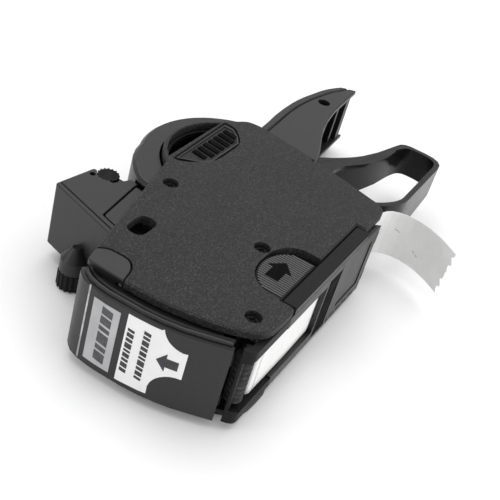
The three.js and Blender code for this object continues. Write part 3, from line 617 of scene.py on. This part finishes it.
def strip(node, first_end, count, rows, thickness, torn):
    """A paper ribbon as a fine grid. torn(share across) is how far its far end is torn back."""
    line, low, high = centre_line(node, first_end, count)
    bm = bmesh.new()
    grid = []
    for column, point in enumerate(line):
        before, after = line[max(column - 1, 0)], line[min(column + 1, count - 1)]
        along = (after - before).normalized()
        share = column / (count - 1)
        cells = []
        for row in range(rows + 1):
            across = row / rows
            back = torn(across) * max(0.0, (share - TEAR_START) / (1.0 - TEAR_START)) if torn else 0.0
            spot = point - along * back
            cells.append(bm.verts.new((spot.x, spot.y, low + (high - low) * across)))
        grid.append(cells)
    for first, second in zip(grid, grid[1:]):
        for row in range(rows):
            bm.faces.new((first[row], first[row + 1], second[row + 1], second[row]))
    piece = new_piece(f"{node}_paper", bm, MATERIALS["label_paper"], BODY_OF[node], smooth=True)
    solid = piece.modifiers.new("paper_thickness", "SOLIDIFY")
    solid.thickness = thickness
    solid.offset = 0.0
    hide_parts(node)
    return piece


def torn_edge(across):
    """Saw-toothed tear across the strip, deeper at one side."""
    teeth = 5.5
    saw = (across * teeth) % 1.0
    return (1.7 * saw + 2.6 * (1.0 - across) + 0.5 * math.sin(23.0 * across)) * MM * 0.8 + 0.1 * MM


def die_cut_marks(line):
    """Short pressed marks on the backing paper where a label was cut, as thin raised lines."""
    low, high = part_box("liner_tail")
    bm = bmesh.new()
    for start, share in ((34, 0.62), (36, 0.6), (52, 0.34), (55, 0.3)):
        for step in range(2):
            first, second = line[start + step], line[start + step + 1]
            outward = Vector((second.y - first.y, first.x - second.x)).normalized() * MARK_HALF
            corners = (first - outward, second - outward, second + outward, first + outward)
            z = low.z + (high.z - low.z) * share - step * MARK_STEP
            prism(bm, [(corner.x, corner.y) for corner in corners], z, z + MARK_HEIGHT)
    new_piece("liner_tail_die_cut_marks", bm, CARD_SHADE, "chassis")


tail_low, tail_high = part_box("liner_tail")
tail_root = Vector((tail_low.x, tail_high.y))
strip("liner_tail", tail_root, TAIL_COLUMNS, TAIL_ROWS, LINER_PAPER, torn_edge)
die_cut_marks(centre_line("liner_tail", tail_root, TAIL_COLUMNS)[0])
backing_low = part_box("backing_strip")[0]
strip("backing_strip", Vector((backing_low.x, backing_low.y)), STRIP_COLUMNS, STRIP_ROWS,
      LINER_PAPER, None)
web_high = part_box("label_web")[1]
strip("label_web", Vector((web_high.x, web_high.y)), STRIP_COLUMNS, STRIP_ROWS, WEB_PAPER, None)


# ---------- latch: ribs and arrow ----------
def latch_details():
    """Grip ribs and an arrow on the latch pad."""
    low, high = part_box("base_latch")
    top = high.z
    refined["base_latch"].data.materials[0] = MATERIALS["dark_plastic"]
    ribs = bmesh.new()
    pitch = 1.2 * MM
    middle = ((low.x + high.x) / 2, (low.y + high.y) / 2)
    shoulder = low.y + 5.2 * MM
    half_width = (high.x - low.x) / 2
    columns = int((high.x - low.x - 1.6 * MM) / pitch)
    for column in range(columns):
        x = low.x + 1.0 * MM + column * pitch
        away = abs(x + 0.3 * pitch - middle[0]) / half_width
        rise = math.sqrt(max(0.0, 1.0 - away * away))
        top_y = shoulder + (high.y - shoulder) * rise - 0.9 * MM
        prism(ribs, box_corners(x, low.y + 0.7 * MM, x + 0.62 * pitch, top_y), top - SINK,
              top + 0.3 * MM)
    piece = new_piece("latch_grip_ribs", ribs, RIB_PLASTIC, "latch")
    soften(piece, 0.1 * MM)
    arrow = bmesh.new()
    length, half, stem = 6.6 * MM, 5.0 * MM, 2.7 * MM
    x0, y0 = middle[0] + 0.4 * MM, middle[1] + 0.6 * MM
    outline = [(x0 - length, y0 - stem), (x0, y0 - stem), (x0, y0 - half),
               (x0 + length * 0.85, y0), (x0, y0 + half), (x0, y0 + stem),
               (x0 - length, y0 + stem)]
    prism(arrow, outline, top - SINK, top + 0.36 * MM)
    soften(new_piece("latch_arrow", arrow, SHADOW_BLACK, "latch"), 0.12 * MM)


def soften(piece, width, segments=2):
    """Rounds a piece's sharp edges."""
    bevel = piece.modifiers.new("rounded_edges", "BEVEL")
    bevel.width = width
    bevel.segments = segments
    bevel.limit_method = "ANGLE"
    bevel.angle_limit = math.radians(30)
    return piece


RIB_PLASTIC = plastic("ribbed_grey_plastic", (0.045, 0.045, 0.046), (0.07, 0.07, 0.072),
                      0.5, 1500.0, 0.5)
latch_details()


# ---------- base: dark bar in the channel across it, painted shade of slots beside it ---
BASE_FACE = -41.3
CHANNEL_DEPTH = 0.5


def base_dark_bar_and_slot_shade():
    """A near-black bar on the floor of the channel across the base, and a row of short dark ticks beside
    it: painted shade in slots.
    """
    bm = bmesh.new()
    floor_y = (BASE_FACE + CHANNEL_DEPTH) * MM + SHIFT.y
    corners = [(4.8, 5.3), (13.0, 5.3), (15.2, 34.7), (6.6, 34.7)]
    prism(bm, [(x * MM + SHIFT.x, z * MM) for x, z in corners], floor_y - 0.3 * MM,
          floor_y + 0.1 * MM, lambda u, v, w: Vector((u, w, v)))
    soften(new_piece("base_channel_dark_bar", bm, SHADOW_BLACK, "base"), 0.1 * MM)
    # Short dark ticks: painted shade where slots open in the base.
    ticks = bmesh.new()
    for tick in range(9):
        x = 18.0 + tick * 3.0
        lift = (tick % 2) * 0.8
        corners = box_corners(x, 4.2 + lift, x + 1.3, 6.4 + lift)
        prism(ticks, [(u * MM + SHIFT.x, v * MM) for u, v in corners],
              floor_y - 0.5 * MM, floor_y - 0.2 * MM, lambda u, v, w: Vector((u, w, v)))
    soften(new_piece("base_slot_painted_shade", ticks, SHADOW_BLACK, "base"), 0.08 * MM)


base_dark_bar_and_slot_shade()


# ---------- side badge: rim, groove and slanted bars ----------
BADGE_DEPTH = 0.8 * MM
GROOVE_RISE = 0.05 * MM


def badge_details():
    """A raised rim, the groove round it and slanted bars on the floor of the badge recess."""
    floor = COVER_TOP - BADGE_DEPTH
    bm = bmesh.new()
    start, end, base, top = 27.0, 55.5, 29.4, 37.0
    count = 7
    pitch = (end - start) / count
    for bar in range(count):
        x = start + bar * pitch
        low = base + (1.2 if bar in (0, count - 1) else 0.0)
        corners = [(x, low), (x + 0.62 * pitch, low), (x + 0.62 * pitch + 1.0, top), (x + 1.0, top)]
        prism(bm, [(u * MM + SHIFT.x, v * MM + SHIFT.y) for u, v in corners], floor - SINK,
              COVER_TOP - 0.15 * MM)
    soften(new_piece("badge_raised_bars", bm, SHADOW_BLACK, "chassis"), 0.15 * MM)
    middle_x, middle_y = 38.4, 33.5
    frame_line = [(18.6, 38.6), (58.2, 39.4), (58.2, 35.0), (54.5, 30.6), (49.9, 27.4),
                  (28.2, 27.4), (24.2, 30.0)]
    rim = bmesh.new()
    inner = [(u + (middle_x - u) * 0.06, v + (middle_y - v) * 0.12) for u, v in frame_line]
    ring_prism(rim, frame_line, inner, floor - SINK, COVER_TOP - 0.3 * MM)
    soften(new_piece("badge_raised_rim", rim, MATERIALS["smooth_plastic"], "chassis"), 0.12 * MM)
    groove = bmesh.new()
    outer = [(17.3, 39.1), (59.2, 40.0), (59.4, 34.7), (55.3, 30.1), (50.3, 26.6),
             (27.8, 26.6), (22.9, 30.1)]
    ring_prism(groove, outer, frame_line, floor - SINK, floor + GROOVE_RISE)
    new_piece("badge_groove_shadow", groove, SHADOW_BLACK, "chassis")


def ring_prism(bm, outer, inner, low, high):
    """Adds a closed frame between two outlines with the same number of corners."""
    rings = []
    for outline, z in ((outer, low), (outer, high), (inner, high), (inner, low)):
        rings.append([bm.verts.new((u * MM + SHIFT.x, v * MM + SHIFT.y, z)) for u, v in outline])
    join_rings(bm, rings + rings[:1])


badge_details()


# ---------- front cover: silver sticker, painted highlight on the bend, white card ---
STICKER_FILM = 0.06 * MM
BEAD_RISE = 0.1 * MM
CARD_SHEET = 0.12 * MM
PRINT_DEPTH = 0.04 * MM
STICKER_PRINT_LIFT = 0.08 * MM
CARD_PRINT_LIFT = 0.14 * MM


def panel_curve():
    """Outer face of the front cover's panel: x for a y, from the CAD mesh."""
    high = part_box("front_cover")[1]
    mesh = frame["nodes"]["front_cover"].data
    face = {}
    for vertex in mesh.vertices:
        key = round(vertex.co.y, 5)
        if vertex.co.z < high.z - 6 * MM:
            face[key] = min(face.get(key, 1.0), vertex.co.x)
    points = sorted((y, x) for y, x in face.items())
    hull = []
    for y, x in points:
        while len(hull) > 1:
            (y1, x1), (y2, x2) = hull[-2], hull[-1]
            if (y2 - y1) * (x - x1) - (x2 - x1) * (y - y1) >= 0:
                break
            hull.pop()
        hull.append((y, x))
    return hull


PANEL = panel_curve()


def panel_x(y):
    """Where the panel's outer face lies at y."""
    for (y1, x1), (y2, x2) in zip(PANEL, PANEL[1:]):
        if y1 <= y <= y2:
            return x1 + (x2 - x1) * (y - y1) / (y2 - y1)
    return PANEL[0][1] if y < PANEL[0][0] else PANEL[-1][1]


def panel_patch(name, outline, thickness, material, lift=0.0, cell=0.5 * MM):
    """A thin sheet over the panel's outer face, bounded by (y, z) corners."""
    bm = bmesh.new()
    face = bm.faces.new([bm.verts.new((0.0, y, z)) for y, z in outline])
    bmesh.ops.triangulate(bm, faces=[face])
    low_y, high_y = min(y for y, _ in outline), max(y for y, _ in outline)
    y = math.floor(low_y / cell) * cell
    while y < high_y:
        bmesh.ops.bisect_plane(bm, geom=bm.verts[:] + bm.edges[:] + bm.faces[:], plane_co=(0, y, 0),
                               plane_no=(0, 1, 0))
        y += cell
    bmesh.ops.dissolve_degenerate(bm, dist=1e-7, edges=bm.edges[:])
    made = bmesh.ops.extrude_face_region(bm, geom=bm.faces[:])
    raised = {v for v in made["geom"] if isinstance(v, bmesh.types.BMVert)}
    for vertex in bm.verts:
        depth = lift + (thickness if vertex in raised else -SINK)
        vertex.co.x = panel_x(vertex.co.y) - depth
    return new_piece(name, in_order_of_place(bm), material, "door")


def in_order_of_place(bm):
    """The same faces with corners and faces sorted by place, so that each run gives the same mesh."""
    rings = []
    for face in bm.faces:
        ring = [tuple(vertex.co) for vertex in face.verts]
        first = ring.index(min(ring))
        rings.append(ring[first:] + ring[:first])
    bm.free()
    ordered = bmesh.new()
    places = sorted({place for ring in rings for place in ring})
    corners = {place: ordered.verts.new(place) for place in places}
    for ring in sorted(rings):
        ordered.faces.new([corners[place] for place in ring])
    return ordered


def arc(centre, radius, start, end, steps=8):
    """Points on an arc between two angles in degrees."""
    angles = [math.radians(start + (end - start) * step / steps) for step in range(steps + 1)]
    return [(centre[0] + radius * math.cos(a), centre[1] + radius * math.sin(a)) for a in angles]


def panel_points(points):
    """Turns corners (y, z) in the gun's own millimetres into metres in the frame."""
    return [(y * MM + SHIFT.y, z * MM) for y, z in points]


def sticker():
    """Silver sticker with a row of slanted bars."""
    panel_patch("silver_sticker", panel_points(box_corners(2.8, 6.6, 13.8, 33.4)), STICKER_FILM,
                FOIL)
    bars = ((8.4, 12.4), (13.2, 15.2), (16.2, 20.6), (21.6, 23.4), (24.4, 27.6), (28.4, 31.4))
    for index, (start, end) in enumerate(bars):
        slanted = [(5.4, start), (9.8, start + 0.7), (9.8, end + 0.7), (5.4, end)]
        panel_patch(f"silver_sticker_bar_{index + 1}", panel_points(slanted), PRINT_DEPTH, GREY_PRINT,
                    STICKER_PRINT_LIFT)


def bend_line():
    """A narrow polished bead where the panel bends towards the roll; its pale colour is a painted
    highlight.
    """
    panel_patch("panel_bend_painted_highlight", panel_points(box_corners(15.9, 4.6, 16.6, 36.6)), BEAD_RISE,
                BEND_PAINTED_HIGHLIGHT)


def card():
    """White card with a narrower tab, concave shoulders, two rows of bars and a plain arrow."""
    outline = [(0.0, 5.8), (0.0, 35.0), (-12.2, 35.0)]
    outline += arc((-21.6, 37.8), 8.9, -14.0, -84.0)
    outline += [(-22.2, 29.2), (-22.2, 17.9)]
    outline += arc((-21.4, 8.3), 9.6, 93.0, 8.0)
    outline += [(-12.0, 6.2)]
    panel_patch("white_card", panel_points(outline), CARD_SHEET, CARD)
    rows = ((-3.5, -0.9, (1.5, 2.0, 1.2, 1.8, 1.0, 2.2, 1.4, 1.7, 1.1)),
            (-9.3, -6.7, (1.1, 1.8, 1.3, 2.3, 1.0, 1.7, 1.5, 2.1, 1.2, 1.4)))
    slant, space = 0.3, 0.62
    for row, (bottom, top, widths) in enumerate(rows):
        z = 10.4
        for bar, width in enumerate(widths):
            corners = [(bottom, z), (top, z + slant), (top, z + width + slant), (bottom, z + width)]
            panel_patch(f"card_bar_{row + 1}_{bar + 1}", panel_points(corners), PRINT_DEPTH, PRINT,
                        CARD_PRINT_LIFT)
            z += width + space
    middle = 22.6
    tip, neck, foot = -12.6, -16.0, -20.2
    arrow = [(tip, middle), (neck, middle + 3.9), (neck, middle + 1.9), (foot, middle + 1.9),
             (foot, middle - 1.9), (neck, middle - 1.9), (neck, middle - 3.9)]
    panel_patch("card_arrow", panel_points(arrow), PRINT_DEPTH, PRINT, CARD_PRINT_LIFT)


sticker()
bend_line()
card()


# ---------- stage ----------
FLOOR_HALF = 6.0
FLOOR_CELLS = 12
WORLD_STRENGTH = 0.62
FOCAL, SENSOR = 72.0, 36.0
CAMERA_PLACE = Vector((-0.28687, -0.11184, 0.2446))
CAMERA_RIGHT = Vector((0.48243, -0.84138, 0.24359))
CAMERA_AHEAD = Vector((0.7712, 0.27614, -0.57358))


def pale_floor():
    """A plain pale floor just under the gun."""
    n = Nodes("pale_floor")
    tone = n.mix(n.ramp(n.noise(3.0, 3.0), 0.3, 0.7, 0.0, 1.0), (0.93, 0.93, 0.935), (0.95, 0.95, 0.95))
    material = n.finish(Base_Color=tone, Roughness=n.ramp(n.noise(8.0, 2.0), 0.3, 0.7, 0.6, 0.7),
                        Normal=n.bump(n.noise(500.0, 2.0), 0.02, 0.0001))
    bm = bmesh.new()
    lines = [-FLOOR_HALF + 2 * FLOOR_HALF * step / FLOOR_CELLS for step in range(FLOOR_CELLS + 1)]
    cells = [[bm.verts.new((x, y, 0.0)) for y in lines] for x in lines]
    for i in range(FLOOR_CELLS):
        for j in range(FLOOR_CELLS):
            bm.faces.new((cells[i][j], cells[i + 1][j], cells[i + 1][j + 1], cells[i][j + 1]))
    mesh = bpy.data.meshes.new("floor")
    bm.to_mesh(mesh)
    bm.free()
    mesh.materials.append(material)
    floor = bpy.data.objects.new("floor", mesh)
    floor.location.z = -0.0001
    bpy.context.scene.collection.objects.link(floor)


def area_light(name, place, target, size, power):
    """A soft rectangular lamp at a place, turned to a target."""
    data = bpy.data.lights.new(name, "AREA")
    data.shape = "RECTANGLE"
    data.size, data.size_y = size
    data.energy = power
    lamp = bpy.data.objects.new(name, data)
    bpy.context.scene.collection.objects.link(lamp)
    lamp.location = place
    lamp.rotation_mode = "QUATERNION"
    lamp.rotation_quaternion = (Vector(target) - Vector(place)).to_track_quat("-Z", "Y")


def world_light(strength):
    """Even white light from all round."""
    world = bpy.data.worlds.new("studio")
    bpy.context.scene.world = world
    world.use_nodes = True
    back = world.node_tree.nodes["Background"]
    back.inputs["Color"].default_value = (1.0, 1.0, 1.0, 1.0)
    back.inputs["Strength"].default_value = strength


def camera():
    """The camera, looking down at the nose from the base's side."""
    data = bpy.data.cameras.new("camera")
    data.lens = FOCAL
    data.sensor_width = SENSOR
    data.clip_start = 0.01
    data.clip_end = 50.0
    shot = bpy.data.objects.new("camera", data)
    bpy.context.scene.collection.objects.link(shot)
    right = CAMERA_RIGHT.normalized()
    ahead = CAMERA_AHEAD.normalized()
    up = right.cross(ahead).normalized()
    right = ahead.cross(up)
    turn = Matrix((right, up, -ahead)).transposed()
    shot.matrix_world = Matrix.Translation(CAMERA_PLACE + SHIFT) @ turn.to_4x4()
    bpy.context.scene.camera = shot


pale_floor()
world_light(WORLD_STRENGTH)
area_light("overhead", (0.4, 0.3, 1.6), (0.0, 0.0, 0.0), (2.4, 2.4), 24.0)
area_light("base_side", (0.05, -1.2, 0.35), (0.0, 0.0, 0.02), (1.2, 0.5), 6.0)
area_light("nose_side", (-0.9, 0.75, 0.3), (-0.1, 0.02, 0.02), (0.12, 0.5), 2.0)
camera()
bpy.context.scene.view_settings.view_transform = "Standard"
